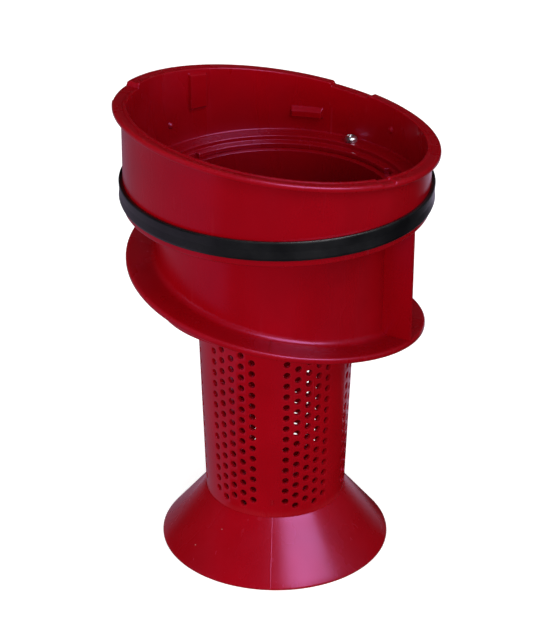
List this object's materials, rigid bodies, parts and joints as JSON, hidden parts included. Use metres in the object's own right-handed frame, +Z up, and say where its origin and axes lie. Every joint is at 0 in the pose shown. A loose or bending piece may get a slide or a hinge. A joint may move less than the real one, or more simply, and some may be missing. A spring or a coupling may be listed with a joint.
{
  "type": "cyclonic separator",
  "caption": "Dust bin separator: filter cup with a slanted rim, lip seal, round housing with a helical roof and an upright baffle, and a twist-lock perforated grille with a flared skirt.",
  "frame": {"origin": "centre of the skirt's lower edge, on the common axis of the cup, the roof and the grille", "axes": "+Z up along the axis, +X towards the low side of the slanted rim"},
  "size_m": [0.1542, 0.1542, 0.2361],
  "materials": {
    "cup_red": "glossy moulded red plastic",
    "seal_rubber": "smooth black rubber",
    "housing_red": "glossy moulded red plastic",
    "screw_steel": "bright zinc-plated steel",
    "grille_red": "satin moulded red plastic",
    "o_ring_rubber": "smooth black rubber",
    "skirt_red": "glossy moulded red plastic",
    "skirt_screw_steel": "bright zinc-plated steel"
  },
  "bodies": {
    "separator": {"collar": "cup_red", "bin_seal": "seal_rubber", "helix_housing": "housing_red", "ledge_screws": "screw_steel"},
    "grille": {"grille_tube": "grille_red", "neck_seal": "o_ring_rubber", "skirt": "skirt_red", "skirt_screws": "skirt_screw_steel"}
  },
  "joints": [
    {"name": "grille_twist", "type": "hinge", "parent": "separator", "child": "grille", "pos_m": [0, 0, 0.128], "axis": [0, 0, 1], "range_deg": [0, 24]}
  ]
}
